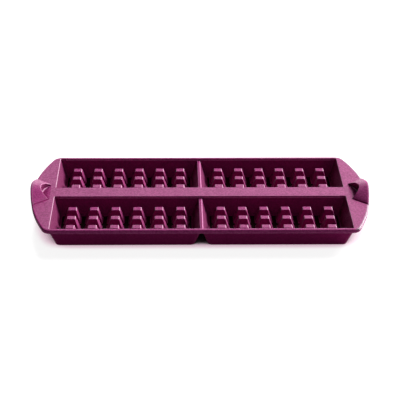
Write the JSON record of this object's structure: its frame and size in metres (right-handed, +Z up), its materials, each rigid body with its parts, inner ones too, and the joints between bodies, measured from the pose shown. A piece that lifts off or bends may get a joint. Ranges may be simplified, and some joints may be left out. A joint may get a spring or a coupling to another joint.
{
  "type": "baking mould",
  "caption": "Shallow flexible baking mould with rectangular wells full of tapered pegs, a flat deck with bowed ends and an arched finger grip at each end.",
  "frame": {"origin": "centre of the footprint, on the plane that the well floors stand on", "axes": "+X along the length through the two grips, +Y towards the back row of wells, +Z up out of the wells"},
  "size_m": [0.3572, 0.1952, 0.0301],
  "materials": {
    "silicone": "satin, fine matt grain"
  },
  "bodies": {
    "root": {"front_rim": "silicone", "back_rim": "silicone", "centre_web": "silicone", "left_flange": "silicone", "right_flange": "silicone", "front_lip": "silicone", "back_lip": "silicone", "left_grip": "silicone", "right_grip": "silicone", "left_thumb_dip": "silicone", "right_thumb_dip": "silicone", "front_left_well": "silicone", "front_right_well": "silicone", "back_left_well": "silicone", "back_right_well": "silicone", "front_left_floor": "silicone", "front_right_floor": "silicone", "back_left_floor": "silicone", "back_right_floor": "silicone", "front_left_pegs": "silicone", "front_right_pegs": "silicone", "back_left_pegs": "silicone", "back_right_pegs": "silicone", "front_ridge": "silicone", "back_ridge": "silicone"}
  },
  "joints": []
}
